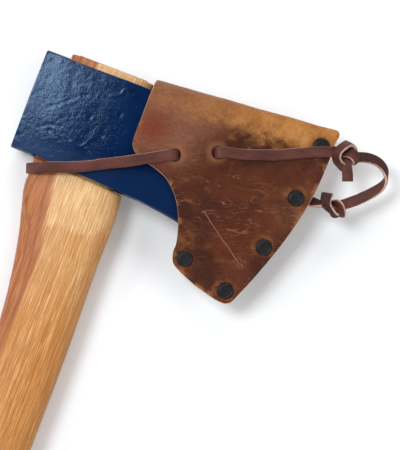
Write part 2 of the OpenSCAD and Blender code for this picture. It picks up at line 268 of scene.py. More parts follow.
class Graph:
    """A material's nodes. Sockets are passed about as values, and numbers or colours stand for constants."""

    def __init__(self, name):
        self.material = bpy.data.materials.new(name)
        self.material.use_nodes = True
        self.tree = self.material.node_tree
        self.tree.nodes.clear()
        self.place = self.mark("axe", vector=True)

    def node(self, kind, inputs=(), **settings):
        made = self.tree.nodes.new("ShaderNode" + kind)
        for key, value in settings.items():
            setattr(made, key, value)
        for key, value in dict(inputs).items():
            if isinstance(value, bpy.types.NodeSocket):
                self.tree.links.new(value, made.inputs[key])
            elif made.inputs[key].type == "RGBA":
                made.inputs[key].default_value = (*value, 1.0)
            else:
                made.inputs[key].default_value = value
        return made

    def mark(self, name, vector=False):
        made = self.node("Attribute", attribute_name=name)
        return made.outputs["Vector" if vector else "Fac"]

    def noise(self, place, scale, detail, roughness=0.55):
        inputs = {"Vector": place, "Scale": scale, "Detail": detail, "Roughness": roughness}
        return self.node("TexNoise", inputs).outputs["Fac"]

    def grain(self, scale, detail, roughness=0.55, turn=0.0, place=None):
        """Noise at the place turned about z by degrees and then scaled along each axis."""
        turned = self.node("Mapping", {"Vector": place or self.place, "Rotation": (0, 0, math.radians(turn))})
        stretched = self.node("Mapping", {"Vector": turned.outputs[0], "Scale": scale})
        return self.noise(stretched.outputs[0], 1.0, detail, roughness)

    def cells(self, place, scale, feature="F1"):
        return self.node("TexVoronoi", {"Vector": place, "Scale": scale}, feature=feature).outputs["Distance"]

    def warped(self, place, amount, scale):
        """The place moved about by noise."""
        swirl = self.node("TexNoise", {"Vector": place, "Scale": scale, "Detail": 3.0}).outputs["Color"]
        centred = self.vector("SUBTRACT", swirl, (0.5, 0.5, 0.5))
        return self.vector("MULTIPLY_ADD", centred, (amount, amount, amount), place)

    def rise(self, value, low, high, out_low=0.0, out_high=1.0):
        inputs = {"Value": value, "From Min": low, "From Max": high, "To Min": out_low, "To Max": out_high}
        return self.node("MapRange", inputs, interpolation_type="SMOOTHSTEP").outputs["Result"]

    def math(self, operation, *values):
        return self.node("Math", enumerate(values), operation=operation).outputs[0]

    def vector(self, operation, *values):
        return self.node("VectorMath", enumerate(values), operation=operation).outputs[0]

    def times(self, *values):
        return functools.reduce(lambda a, b: self.math("MULTIPLY", a, b), values)

    def plus(self, *values):
        return functools.reduce(lambda a, b: self.math("ADD", a, b), values)

    def mix(self, share, a, b):
        """The colour a where share is 0 and b where it is 1."""
        return self.node("Mix", {0: share, 6: a, 7: b}, data_type="RGBA").outputs[2]

    def washed(self, colour, *washes):
        """A colour with others laid over it in turn, each given as its share, its most and the colour."""
        for share, most, wash in washes:
            colour = self.mix(share if most == 1 else self.times(share, most), colour, wash)
        return colour

    def between(self, share, a, b):
        """The number a where share is 0 and b where it is 1."""
        return self.node("Mix", {0: share, 2: a, 3: b}, data_type="FLOAT").outputs[0]

    def away_from(self, centre, stretch):
        """Distance from a place of the axe's frame, in millimetres, with each axis stretched."""
        gap = self.vector("MULTIPLY", self.vector("SUBTRACT", self.place, centre), stretch)
        return self.node("VectorMath", {0: gap}, operation="LENGTH").outputs["Value"]

    def near(self, x, y, reach, full):
        """1 within a full distance of x, y, falling to 0 at a reach, in millimetres."""
        return self.rise(self.away_from((x, y, 0), (1, 1, 0)), reach, full)

    def axis(self, name):
        return self.node("SeparateXYZ", {0: self.place}).outputs[name]

    def shaded(self, colour, roughness, height=None, shine=0.5, tint=(1, 1, 1)):
        """Ends the material. height is the surface's fine relief in millimetres."""
        inputs = {"Base Color": colour, "Roughness": roughness}
        inputs |= {"Specular IOR Level": shine, "Specular Tint": tint}
        if height is not None:
            bump = self.node("Bump", {"Height": height, "Distance": 0.001, "Strength": 1.0})
            inputs["Normal"] = bump.outputs[0]
        shader = self.node("BsdfPrincipled", inputs)
        self.node("OutputMaterial", {"Surface": shader.outputs[0]})
        return self.material


# ---- head shape ----

POLL_HEIGHT, POLL_HALF, EYE_HALF = 64.0, 15.4, 16.3
HEAD_CORNER = 1.3
BLADE_START = 75.0
TOE, HEEL = np.array([165.0, 11.0]), np.array([142.0, -82.0])
EDGE_RADIUS = 100.0
BELLY_Y = -POLL_HEIGHT - 2.8
CHEEK_PROFILE = np.array([[0, POLL_HALF], [20, 16.0], [42, EYE_HALF], [60, 16.1], [BLADE_START, 15.1]])
EASING = 8.0
BLADE_PROFILE = np.array([[0, 15.1], [0.15, 12], [0.35, 8.3], [0.72, 3.4], [0.96, 0.9], [1, 0.2]])

edge_way = TOE - HEEL
edge_across = unit(np.array([edge_way[1], -edge_way[0]]))
EDGE_CENTRE = (TOE + HEEL) / 2 - edge_across * math.sqrt(EDGE_RADIUS**2 - (np.linalg.norm(edge_way) / 2) ** 2)


def head_top(x):
    return TOE[1] * (np.maximum(x - 66, 0) / (TOE[0] - 66)) ** 1.15


def head_bottom(x):
    cheek = -POLL_HEIGHT + (BELLY_Y + POLL_HEIGHT) * (np.clip(x / BLADE_START, 0, 1)) ** 1.6
    beard = BELLY_Y + (HEEL[1] - BELLY_Y) * ((x - BLADE_START) / (HEEL[0] - BLADE_START)) ** 2
    return np.where(x < BLADE_START, cheek, beard)


def edge_x(y):
    return EDGE_CENTRE[0] + np.sqrt(EDGE_RADIUS**2 - (y - EDGE_CENTRE[1]) ** 2)


def blade_share(x, y):
    return (x - BLADE_START) / (edge_x(y) - BLADE_START)


def head_half(x, y):
    """Half the head's thickness, with the stations' corners eased away except near the edge."""
    def plain(at):
        blade = np.interp(blade_share(at, y), *BLADE_PROFILE.T)
        return np.where(at < BLADE_START, np.interp(at, *CHEEK_PROFILE.T), blade)
    eased = np.mean([plain(x + shift) for shift in EASING * np.linspace(-1, 1, 7)], axis=0)
    keep = step(0.6, 0.85, blade_share(x, y))
    return eased + (plain(x) - eased) * keep


# ---- sheath shape ----

LEATHER, SHEATH_ROOM, CLOSED_GAP = 3.0, 0.6, 0.15
SLIDE_ANGLE = math.radians(6)
EDGE_ROOM, CLOSING_START, CLOSING_SLOPE = 3.0, 2.5, 0.8
LACE_WIDTH, LACE_THICKNESS = 6.6, 2.2
SLOTS = np.array([[96.2, -32.6], [119.5, -22.1]])
SLOT_LENGTH, SLOT_WIDTH, LACE_HEADING = 7.6, 6.8, 24.0
RIVETS = [[177, 4.5], [174, -30.5], [166.5, -65.5], [154, -98.5], [124, -89]]
CAP_RADIUS, CAP_HEIGHT = 4.8, 1.3
LEAF_BULGE = 6.5
LEAF_COLUMNS = [
    [69, 6.5, 68.6, -33], [73, 7, 72, -39], [79, 7.5, 79, -42.5], [87, 8.3, 87.5, -44.6],
    [95, 9, 95.5, -47.6], [102, 9.7, 102, -52.8], [108, 10.2, 107, -59], [113, 10.7, 111, -66.5],
    [117, 11, 114, -75], [121, 11.4, 115.8, -82.5], [126, 11.8, 116, -88.5], [131, 12.3, 118.4, -94.4],
    [138, 12.9, 124.5, -98], [146, 13.7, 134, -101.8], [154, 14.4, 145, -104.8], [162, 15.1, 152, -106.2],
    [170, 15.8, 156.8, -106.1], [177, 16.5, 159.8, -104], [183.4, 17, 161.4, -100.6],
    [185.8, 13.8, 163.6, -95],
]


def head_room(x, y):
    low = head_bottom(np.minimum(x, HEEL[0]))
    level = np.clip(y, low, head_top(np.minimum(x, TOE[0])))
    room = head_half(x, level) + SHEATH_ROOM - CLOSING_SLOPE * np.maximum(0, low - CLOSING_START - y)
    return np.where(x > edge_x(np.clip(level, HEEL[1], TOE[1])) + EDGE_ROOM, 0, room)


def lace_room(x, y):
    across = SLOTS[1] - SLOTS[0]
    gap_x, gap_y = x - SLOTS[0][0], y - SLOTS[0][1]
    t = np.clip((gap_x * across[0] + gap_y * across[1]) / (across @ across), 0, 1)
    away = np.hypot(gap_x - across[0] * t, gap_y - across[1] * t)
    return (LACE_THICKNESS + 1) * np.exp(-((away / 11) ** 2) * 1.6)


def leaf_inner(x, y):
    """The leaf clears the head along the whole way that the sheath slides."""
    most = np.full(np.shape(x), CLOSED_GAP)
    for slid in range(0, 102, 6):
        room = head_room(x + math.cos(SLIDE_ANGLE) * slid, y + math.sin(SLIDE_ANGLE) * slid)
        most = np.maximum(most, room)
    return most + lace_room(x, y)


def leaf_outer(x, y):
    return leaf_inner(x, y) + LEATHER


# ---- lace routes: x, y, z, heading of the lace seen from above, roll of its width out of level ----

LACE_HALF = LACE_THICKNESS / 2
LACE_GAP, LACE_INNER_GAP = 0.3, 1.0
LACE_ROLL = 9
LACE_WAY = np.array([math.cos(math.radians(LACE_HEADING)), math.sin(math.radians(LACE_HEADING))])
OVER_CAP = CLOSED_GAP + LEATHER + CAP_HEIGHT + LACE_GAP + LACE_HALF
# The lace dips through a slot where it is pulled against the slot's lip: distance from the slot's
# middle along the lace, and share of the way from under the leather to over it.
DIPS = [[2.6, 1], [0.5, 0.88], [-0.7, 0.5], [-1.7, 0.12], [-4.4, 0]]
TAUT_PLACES = [[80, -41.2], [71.1, -46.3], [58.6, -52.9], [47.8, -58.7], [36.5, -63.4], [29.6, -66]]
TAUT_END = 17.7


def over(x, y, side=1):
    return [x, y, side * (float(leaf_outer(x, y)) + LACE_GAP + LACE_HALF), LACE_HEADING, side * LACE_ROLL]


def under(x, y, side=1):
    return [x, y, side * (float(head_half(x, y)) + LACE_INNER_GAP + LACE_HALF), LACE_HEADING, 0]


def through_slot(slot, towards, side):
    """The lace from over the leather, on one side of a slot, to under it on the other."""
    rows = []
    for along, share in DIPS:
        x, y = slot + LACE_WAY * towards * along
        high, low = over(x, y)[2], under(x, y)[2]
        rows.append([x, y, side * (low + (high - low) * share), LACE_HEADING, 0])
    return rows


def taut_run(side):
    """The strap pulled straight from the sheath's mouth over the head."""
    heights = np.linspace(over(74, -42.4)[2], TAUT_END, len(TAUT_PLACES))
    return [[x, y, side * z, LACE_HEADING + 3, side * LACE_ROLL] for (x, y), z in zip(TAUT_PLACES, heights)]


def side_run(side):
    """The lace on one side, from the middle of the sheath to the back of the handle's shoulder."""
    return [
        over(136, -16.8, side), over(128, -19.2, side), over(124.4, -20.3, side),
        *through_slot(SLOTS[1], 1, side), under(108, -27, side), *through_slot(SLOTS[0], -1, side)[::-1],
        over(91, -35, side), over(86.5, -37.5, side), *taut_run(side),
        [24.4, -68.2, side * 14.4, LACE_HEADING, 0], [18.9, -70.3, side * 10.2, LACE_HEADING - 2, 0],
        [16.2, -71.5, side * 6, LACE_HEADING - 4, 0], [15.1, -71.9, side * 2.4, 20, 0],
    ]


LACE_ROUTE = [
    [187.6, 4.8, 3.2, LACE_HEADING, 0], [183, 3, OVER_CAP - 0.6, LACE_HEADING, 0],
    [176, 0.4, OVER_CAP, LACE_HEADING, 0], over(168, -3.4), over(152, -11),
    *side_run(1), *side_run(-1)[::-1],
    over(151, -22.6, -1), over(166, -26.8, -1), [174, -28.2, -OVER_CAP, LACE_HEADING - 20, 0],
    [182, -29, -5.2, LACE_HEADING - 24, -25], [191, -28.4, -3, LACE_HEADING - 22, -75],
]
LOOP_ROUTE = [
    [198.4, 5.6, -0.2, 12, -12], [203, 7.3, -0.2, 12, -24], [208.2, 8.4, -0.8, 2, -34],
    [213.8, 8, -2.2, -16, -44], [218.9, 5.2, -4.2, -42, -60], [221.5, 0.4, -6, -82, -92],
    [220.4, -5.2, -6.8, -114, -128], [216.4, -10.8, -6.4, -130, -150], [211.2, -16.4, -5.4, -134, -160],
    [206.4, -20.8, -4.2, -138, -166], [202.2, -24.2, -3.2, -142, -168],
]
# The upper knot: the strap runs in, folds back behind itself, comes over the top as a band
# across the strap, and goes behind again. Its end comes out of the middle as a tail.
UPPER_WRAP = [
    [186, 4.1, 3.5, 24, 0], [189.6, 5.8, 3, 16, -10], [193.2, 6.9, 3.4, 6, -24], [197, 6.6, 4.2, -8, -32],
    [199.8, 5, 3.4, -24, -30], [200.8, 3.8, 0.6, -34, -15], [199.2, 4.8, -2.8, -48, 0],
    [197, 7.6, -3.8, -68, 6], [195.2, 10.2, -2.8, -86, 28], [193.6, 11.8, -0.2, -98, 45],
    [191.9, 11.8, 3, -106, 54], [190, 9.7, 6, -108, 55], [188, 6, 7.6, -96, 48], [187.7, 2.2, 7.2, -78, 48],
    [189.8, -0.6, 4.8, -50, 58], [192.8, -1.8, 1.4, -22, 66], [195.2, -1.8, -1.6, 0, 40],
    [196.8, 0.2, -3.6, 30, 10],
]
UPPER_TAIL = [
    [192, 7.4, -0.6, -60, 0], [193.2, 4.6, 1.2, -64, 6], [194.8, 1.2, 3.1, -66, 12],
    [196.3, -2.1, 3.3, -66, 14], [198.1, -5.8, 2.4, -67, 8], [199.6, -9.4, 1, -67, 2],
]
# The lower knot: a band down across the strap, and a turn round the loop's end.
LOWER_STRAP = [
    [190, -28, -3.1, 2, -72], [193, -27.6, -3, 4, -60], [196.5, -27, -3, 10, -40], [200, -25.6, -3, 30, -20],
]
LOWER_WRAP = [
    [191.6, -21.4, -5.6, -78, 0], [191, -21.6, -3, -78, 10], [191, -22.8, -0.6, -79, 20],
    [191.6, -25.2, 1, -76, 28], [193, -27.6, 1, -64, 42], [195.4, -29.2, 0.2, -44, 62],
    [198, -30.4, -1.4, -24, 78], [199.8, -30.8, -3.2, -4, 84], [200.8, -30.2, -5, 30, 80],
    [201.2, -29, -6.4, 60, 60],
]
LOWER_TURN = [
    [197.4, -27.6, -5.4, 60, 20], [198.1, -25.9, -3.2, 36, 34], [199.3, -25.3, -1.4, -4, 42],
    [200.8, -26, -0.4, -40, 42], [201.9, -27.4, -0.4, -64, 36], [202.5, -29, -1.6, -76, 24],
    [202.7, -30.2, -3.6, -80, 10], [202.3, -30.4, -5.8, -84, 0],
]
RIBBON_CORNER, RIBBON_CROWN = 0.45, 0.12


def ribbon_profile():
    """A rounded flat section, as places across and up in millimetres."""
    half, up, cut = LACE_WIDTH / 2, LACE_HALF, RIBBON_CORNER
    flat = np.linspace(-half + cut, half - cut, 9)
    top = [[x, up + RIBBON_CROWN * (1 - (x / half) ** 2)] for x in flat]
    corner = np.array([[half - 0.3 * cut, up - 0.3 * cut], [half, up - cut]])
    rows = np.vstack([corner[::-1] * [-1, 1], top, corner])
    return np.vstack([rows, rows[::-1] * [1, -1]])


def ribbon(name, route, steps, seed, flesh_side):
    """A flat lace swept along a route. It marks the place on the strip, the edges and the flesh side."""
    rows = smooth_rows(route, steps)
    centre = rows[:, :3]
    way = unit(np.gradient(centre, axis=0))
    heading, roll = np.radians(rows[:, 3]), np.radians(rows[:, 4])
    level = np.stack([-np.sin(heading) * np.cos(roll), np.cos(heading) * np.cos(roll), np.sin(roll)], axis=1)
    across = unit(level - way * np.sum(level * way, axis=1, keepdims=True))
    up = np.cross(way, across)
    profile = ribbon_profile()
    wander = noise_at(centre, 14, 2, seed)[:, None] * 0.25
    wide = 1 + 0.05 * noise_at(centre, 7, 3, seed + 9)[:, None, None]
    rings = (
        (centre + across * wander)[:, None, :]
        + across[:, None, :] * profile[None, :, 0, None] * wide
        + up[:, None, :] * profile[None, :, 1, None]
    )
    points, faces = loft(rings)
    count = len(rows)
    travelled = np.concatenate([[0], np.cumsum(np.linalg.norm(np.diff(centre, axis=0), axis=1))])
    flat = np.stack([
        np.repeat(travelled, len(profile)), np.tile(profile[:, 0], count), np.tile(profile[:, 1], count)
    ], axis=1)
    rim = np.tile((np.abs(profile[:, 0]) > LACE_WIDTH / 2 - RIBBON_CORNER * 0.1).astype(float), count)
    flesh = np.tile((profile[:, 1] * flesh_side > 0).astype(float), count)
    return make_object(name, points, faces, marks={"strip": flat, "rim": rim, "flesh": flesh}), centre


def lace_material():
    g = Graph("lace_leather")
    strip = g.mark("strip", vector=True)
    rim, flesh = g.mark("rim"), g.mark("flesh")
    broad = g.grain((0.05, 0.16, 0.16), 3, place=strip)
    fine = g.grain((0.9, 1.4, 1.4), 5, 0.65, place=strip)
    fibres = g.grain((0.7, 3.2, 3.2), 5, 0.7, place=strip)
    pebbles = g.cells(strip, 2.6)
    brown = g.mix(g.rise(broad, 0.35, 0.65), (0.054, 0.011, 0.007), (0.104, 0.024, 0.015))
    suede = g.mix(g.rise(fibres, 0.38, 0.68), (0.014, 0.004, 0.004), (0.105, 0.032, 0.024))
    pale = g.mix(g.rise(fine, 0.3, 0.7), (0.36, 0.185, 0.135), (0.72, 0.47, 0.38))
    colour = g.washed(
        brown,
        (g.rise(fine, 0.5, 0.75), 0.7, (0.130, 0.038, 0.029)),
        (flesh, 1, suede),
        (g.times(g.rise(rim, 0.45, 0.95), g.rise(fibres, 0.2, 0.5)), 1, pale),
    )
    rough = g.plus(g.rise(fine, 0.3, 0.7, 0.5, 0.66), g.times(flesh, 0.25), g.times(rim, 0.1))
    height = g.plus(g.times(pebbles, 0.04), g.times(fine, 0.08), g.times(flesh, fibres, 0.25))
    return g.shaded(colour, rough, height, 0.35)


LACE_LOOKS = lace_material()
RIBBON_STEPS = 12


def make_loop():
    """The lace's free loop and its two knots."""
    loop, centre = ribbon("lace_free_loop", LOOP_ROUTE, RIBBON_STEPS, 3.0, flesh_side=1)
    finish_piece(loop, LACE_LOOKS, "sheath", "lace_leather", "lace_loop")
    for name, node, routes in (
        ("lace_knot_upper", "knot_upper", [(UPPER_WRAP, -1), (UPPER_TAIL, -1)]),
        ("lace_knot_lower", "knot_lower", [(LOWER_STRAP, -1), (LOWER_WRAP, 1), (LOWER_TURN, -1)]),
    ):
        strands = [
            ribbon(f"{name}_{i}", route, RIBBON_STEPS, 5.0 + i, flesh_side)[0]
            for i, (route, flesh_side) in enumerate(routes)
        ]
        with bpy.context.temp_override(active_object=strands[0], selected_editable_objects=strands):
            bpy.ops.object.join()
        strands[0].name = name
        finish_piece(strands[0], LACE_LOOKS, "sheath", "lace_leather", node)


make_loop()


def make_lace():
    lace, _ = ribbon("lace_ties", LACE_ROUTE, 10, 1.0, flesh_side=1)
    finish_piece(lace, LACE_LOOKS, "sheath", "lace_leather", "lace")


make_lace()

# ---- head ----

EYE_BACK, EYE_FRONT, EYE_HALF_WIDTH = 15.5, 68.5, 10.2
TENON_FULLNESS = 0.8
EYE_GAP = 0.2
HEAD_GRID = 0.85
SIDE_POINTS, CAP_POINTS, BLADE_RINGS = 96, 22, 108
POLL_ROUNDING = 1.2


def head_ring(x_of, low, high, inset):
    """One ring round the head: up the front side, over the top, down the back side and under the bottom."""
    bend = np.radians([0, 22.5, 45, 67.5, 90])
    rise = np.linspace(low + HEAD_CORNER, high - HEAD_CORNER, SIDE_POINTS - 2 * len(bend) + 2)
    curve = HEAD_CORNER * (1 - np.cos(bend))
    y = np.concatenate([low + curve, rise[1:-1], high - curve[::-1]])
    lean = np.concatenate([1 - np.sin(bend), np.zeros(len(rise) - 2), 1 - np.sin(bend[::-1])])
    x = x_of(y)
    half = head_half(x, y)
    z = half - inset - np.minimum(HEAD_CORNER, half * 0.45) * lean
    front = np.stack([x, y, z], axis=1)
    back = front[::-1] * [1, 1, -1]
    across = np.linspace(0, 1, CAP_POINTS + 2)[1:-1, None]
    over_top = front[-1] + (back[0] - front[-1]) * across
    under_bottom = back[-1] + (front[0] - back[-1]) * across
    return np.vstack([front, over_top, back, under_bottom])


def shrunk(ring, shares):
    """Smaller copies of a flat ring, which close an end."""
    middle = ring.mean(axis=0)
    return [middle + (ring - middle) * share for share in shares]


def oval(y, back, front, half, fullness, sides):
    """Oval section of the wood at a height y, between a back and a front edge."""
    a = -2 * np.pi * np.arange(sides) / sides
    c, s = np.cos(a), np.sin(a)
    x = (back + front) / 2 + (front - back) / 2 * np.sign(c) * np.abs(c) ** fullness
    return np.stack([x, np.full(sides, float(y)), half * np.sign(s) * np.abs(s) ** fullness], axis=1)


def eye_ring(y, inset, sides):
    """Section of the eye at a height y, drawn in by an inset."""
    return oval(y, EYE_BACK + inset, EYE_FRONT - inset, EYE_HALF_WIDTH - inset, TENON_FULLNESS, sides)


# Raised flow lines and dents of the forging, as places of the front cheek.
FLOW_LINES = [
    [[47.5, -13.0], [50.5, -11.6], [53.0, -10.2], [53.4, -7.4], [56.0, -6.0], [57.2, -8.6]],
    [[59.0, -9.2], [62.2, -6.4]],
    [[34.5, -47.5], [37.6, -48.6], [41.0, -48.6], [43.4, -45.6], [44.6, -42.4], [47.0, -41.0]],
    [[73.0, -14.4], [74.2, -19.6]],
]
DENTS = [[56.5, -22.0], [50.6, -38.0], [62.0, -30.0], [40.0, -30.0], [20.0, -46.0]]
SEAMS = [
    [[14, -33], [20, -29], [25, -24], [32, -19], [38, -17]],
    [[22, -38], [28, -34], [33, -31]],
    [[26, -14], [33, -9], [40, -5]],
    [[12, -47], [18, -43], [27, -41]],
]


def head_relief(points):
    """Hammer marks, scale pits and flow lines of the forging, in millimetres."""
    x, y, z = points.T
    cheek = 1 - step(0.02, 0.3, blade_share(x, y))
    rough = cheek * np.exp(-(((x - 36 + (y + 32) * 0.5) / 26) ** 2)) * (0.35 + 0.65 * step(-75, -30, y))
    slanted = points @ np.array([[0.75, -0.66, 0], [0.66, 0.75, 0], [0, 0, 1]]) * [0.75, 1.2, 1]
    height = 0.16 * noise_at(points, 26, 2) * (0.3 + 0.7 * cheek)
    height += rough * (0.03 * (ridges_at(slanted, 7, 4) - 0.5) + 0.05 * noise_at(slanted, 3.2, 4, 4.0))
    height += 0.022 * noise_at(points, 2.6, 3, 8.0) * (0.25 + 0.75 * cheek)
    height -= (1.1 * ((y + 32) / 34) ** 2 + 1.0 * (np.clip(72 - x, 0, 72) / 72) ** 2) * cheek
    front = z > 8
    for lines, raised, width in ((FLOW_LINES, 0.15, 0.7), (SEAMS, -0.05, 0.9)):
        for line in lines:
            near = distance_to(points, smooth_rows(line, 4))
            height += front * raised * np.exp(-((near / width) ** 2))
    for dent in DENTS:
        near = np.linalg.norm(points[:, :2] - dent, axis=1)
        height -= front * 0.2 * np.exp(-((near / 1.1) ** 2))
    thin = np.clip(np.abs(z) / 4, 0, 1)
    edges = np.exp(-np.minimum(np.abs(x), 30) / 3.0)
    height -= edges * 0.35 * np.maximum(noise_at(points, 5, 3, 21.0), 0)
    return height * thin


def head_rings():
    low, high = -POLL_HEIGHT, 0.0
    first = head_ring(lambda y: np.zeros(len(y)), low + POLL_ROUNDING, high - POLL_ROUNDING, POLL_ROUNDING)
    rings = shrunk(first, np.linspace(0.08, 1, 16)[:-1])
    for turn in np.radians([0, 30, 60]):
        x, inset = POLL_ROUNDING * (1 - np.cos(turn)), POLL_ROUNDING * (1 - np.sin(turn))
        rings.append(head_ring(lambda y: np.full(len(y), x), low + inset, high - inset, inset))
    for x in np.arange(POLL_ROUNDING, BLADE_START, HEAD_GRID):
        rings.append(head_ring(lambda y: np.full(len(y), x), float(head_bottom(x)), float(head_top(x)), 0))
    for share in np.linspace(0, 1, BLADE_RINGS):
        rings.append(head_ring(
            lambda y: BLADE_START + (edge_x(y) - BLADE_START) * share,
            float(head_bottom(BLADE_START + (HEEL[0] - BLADE_START) * share)),
            float(head_top(BLADE_START + (TOE[0] - BLADE_START) * share)), 0,
        ))
    return np.array(rings)


def head_material():
    g = Graph("forged_paint")
    x, y, share = g.axis("X"), g.axis("Y"), g.mark("share")
    warp = g.warped(g.place, 2, 0.3)
    broad = g.noise(g.place, 0.045, 3)
    scale = g.noise(warp, 0.6, 6, 0.62)
    fine = g.noise(g.place, 2.6, 4, 0.6)
    pits = g.rise(g.cells(warp, 0.55), 0.30, 0.05)
    smooth = g.rise(g.plus(y, g.times(x, -0.12)), -52, -62)
    forged = g.times(g.near(34, -34, 42, 12), g.rise(g.noise(g.place, 0.10, 3), 0.38, 0.58, 0.15, 1))
    paint = g.washed(
        g.mix(g.rise(broad, 0.3, 0.7), (0.0004, 0.007, 0.036), (0.0010, 0.013, 0.060)),
        # The lighter blue on the smooth lower band is a painted sheen for the haze of its reflection. The
        # band's smoother roughness and relief are the surface's own.
        (smooth, 0.6, (0.003, 0.017, 0.066)),
        (g.rise(scale, 0.5, 0.8), 0.3, (0.003, 0.022, 0.085)),
    )
    ragged = g.plus(share, g.times(g.plus(g.noise(g.place, 0.25, 5, 0.7), -0.5), 0.05))
    bare = g.rise(ragged, 0.80, 0.825)
    lines = g.grain((0.10, 3, 1), 6, 0.7, turn=2)
    steel = g.washed(
        g.mix(lines, (0.30, 0.30, 0.31), (0.62, 0.62, 0.63)),
        (g.rise(g.noise(g.place, 0.16, 4), 0.52, 0.75), 0.5, (0.20, 0.17, 0.15)),
    )
    painted = g.between(smooth, g.rise(scale, 0.3, 0.7, 0.16, 0.21), 0.26)
    rough = g.between(bare, painted, g.rise(lines, 0.2, 0.8, 0.28, 0.42))
    scaled = g.times(scale, g.between(smooth, g.between(forged, 0.30, 1), 0.12), 0.12)
    pitted = g.times(pits, g.between(forged, 0.25, 1), -0.07)
    height = g.between(bare, g.plus(scaled, g.times(fine, 0.014), pitted), g.times(lines, 0.02))
    return g.shaded(g.mix(bare, paint, steel), rough, height, 0.34, tint=(0.55, 0.76, 1))


def make_head():
    rings = head_rings()
    sides = rings.shape[1]
    points, faces = loft(rings, ends=(True, False))
    last, width = (len(rings) - 1) * sides, SIDE_POINTS
    back = last + 2 * width + CAP_POINTS - 1
    for k in range(width - 1):
        faces.append([last + k, last + k + 1, back - k - 1, back - k])
    faces.append([last + width - 1 + k for k in range(CAP_POINTS + 2)])
    faces.append([last, *[last + sides - 1 - k for k in range(CAP_POINTS + 1)]])
    share = np.clip(blade_share(points[:, 0], points[:, 1]), 0, 1)
    head = make_object("head_forged", points, faces, head_relief, {"share": share})
    hole = [eye_ring(y, -EYE_GAP, 96) for y in np.linspace(20, -100, 60)]
    cut_away(head, make_object("eye_cut", *loft(np.array(hole))), ["share"])
    finish_piece(head, head_material(), "axe", "blue_paint", "axe_head")


make_head()

# ---- handle and wedge ----

HANDLE_LENGTH = 797.0
TENON_PROUD = 3.0
SHOULDER_Y = -POLL_HEIGHT - 3
SHOULDER_GAP = 0.2
GRIP_FULLNESS = 0.86
WEDGE_TOP, WEDGE_TIP, WEDGE_LENGTH, WEDGE_DEPTH = 5.0, 1.2, 44.0, 44.0
WEDGE_PROUD = 0.6
HANDLE_STATIONS = [
    [-69, 16.2, 74.5, 12.6], [-75, 16.4, 75.4, 12.8], [-85, 17.0, 76.2, 13], [-112, 24.2, 76, 13.2],
    [-141, 29.4, 76.8, 13.2], [-175, 33, 77.8, 13.2], [-235, 37.5, 78, 13], [-320, 42, 77.5, 12.6],
    [-420, 41, 75, 12.4], [-520, 34, 69.5, 12.4], [-610, 26.5, 64, 12.4], [-680, 24, 62.5, 12.8],
    [-730, 24.5, 66, 13.8], [-768, 23, 73, 15.2], [2.5 - HANDLE_LENGTH, 21.5, 76.5, 15],
]
HANDLE_SIDES = 104
END_SHARES = np.linspace(0.06, 1, 14)


def wood_material(name, heart_back):
    """Oiled hickory: fine straight grain, a reddish heart along the back, a knot, open pores and a painted
    shade along the front edge.
    """
    g = Graph(name)
    x, y, z = (g.axis(a) for a in "XYZ")
    wander = g.grain((0.02, 0.006, 0.02), 2)
    bend = g.times(g.rise(y, -130, -64, 7.6, 0), -1)
    knot = g.away_from((20, -91.5, 14), (1, 0.42, 0.3))
    lane = g.plus(x, bend, g.times(z, 0.35), g.times(wander, 10), g.rise(knot, 12, 1, 0, 7))
    uneven = g.plus(lane, g.times(g.grain((0.25, 0.004, 0.1), 3), 3))
    rings = g.math("SINE", g.times(uneven, 3.7))
    slow = g.math("SINE", g.times(lane, 1.15))
    streaks = g.grain((0.8, 0.012, 0.25), 6, 0.66)
    fibres = g.grain((1.7, 0.045, 0.7), 5, 0.68)
    dashes = g.grain((1.9, 0.11, 1.3), 5, 0.66)
    broad = g.grain((0.05, 0.012, 0.05), 3)
    patchy, streaked = g.plus(broad, -0.5), g.plus(streaks, -0.5)
    pale = g.washed(
        g.mix(g.rise(streaks, 0.36, 0.64), (0.56, 0.290, 0.104), (0.69, 0.415, 0.180)),
        (g.rise(rings, -0.2, 0.95), 0.5, (0.50, 0.235, 0.080)),
        (g.rise(fibres, 0.51, 0.60), 0.7, (0.88, 0.63, 0.36)),
    )
    oiled = g.washed(
        g.mix(g.rise(streaks, 0.36, 0.64), (0.39, 0.142, 0.028), (0.57, 0.245, 0.056)),
        (g.rise(rings, -0.2, 0.95), 0.5, (0.38, 0.135, 0.034)),
        (g.rise(fibres, 0.52, 0.62), 0.75, (0.74, 0.42, 0.17)),
    )
    red = g.washed(
        g.mix(g.rise(streaks, 0.34, 0.66), (0.27, 0.074, 0.018), (0.47, 0.165, 0.044)),
        (g.rise(slow, 0.1, 1), 0.7, (0.23, 0.058, 0.016)),
        (g.rise(rings, 0.2, 0.95), 0.4, (0.30, 0.085, 0.024)),
        (g.rise(fibres, 0.52, 0.66), 0.5, (0.64, 0.29, 0.11)),
    )
    tint = g.plus(y, g.times(patchy, 14), g.times(x, -0.16), g.times(streaked, 10))
    lower = g.plus(g.rise(tint, -103, -108, 0, 0.55), g.rise(y, -105, -165, 0, 0.45))
    # Painted shade: the wood darkens towards the handle's front edge, most on the side facing the floor.
    painted_front_shade = g.rise(g.plus(x, g.times(z, -0.6)), 56, 76)
    heart_edge = g.plus(x, bend, g.times(streaked, 6), g.times(z, -0.25))
    pores = g.times(g.rise(dashes, 0.55, 0.66), g.rise(rings, -0.8, 0.4, 0.3, 1))
    colour = g.washed(
        pale,
        (lower, 1, oiled),
        # painted shade along the front edge
        (painted_front_shade, 0.55, (0.39, 0.148, 0.030)),
        (g.rise(heart_edge, heart_back + 1.6, heart_back - 1.6), 1, red),
        (pores, 0.38, (0.33, 0.130, 0.040)),
        (g.rise(knot, 3.6, 0.6, 0, 0.8), 1, (0.14, 0.036, 0.012)),
    )
    rough = g.plus(g.rise(streaks, 0.3, 0.7, 0.42, 0.54), g.times(pores, 0.1))
    height = g.plus(
        g.times(dashes, 0.015), g.times(rings, 0.006), g.times(pores, -0.02), g.times(streaks, 0.03)
    )
    return g.shaded(colour, rough, height, 0.35)


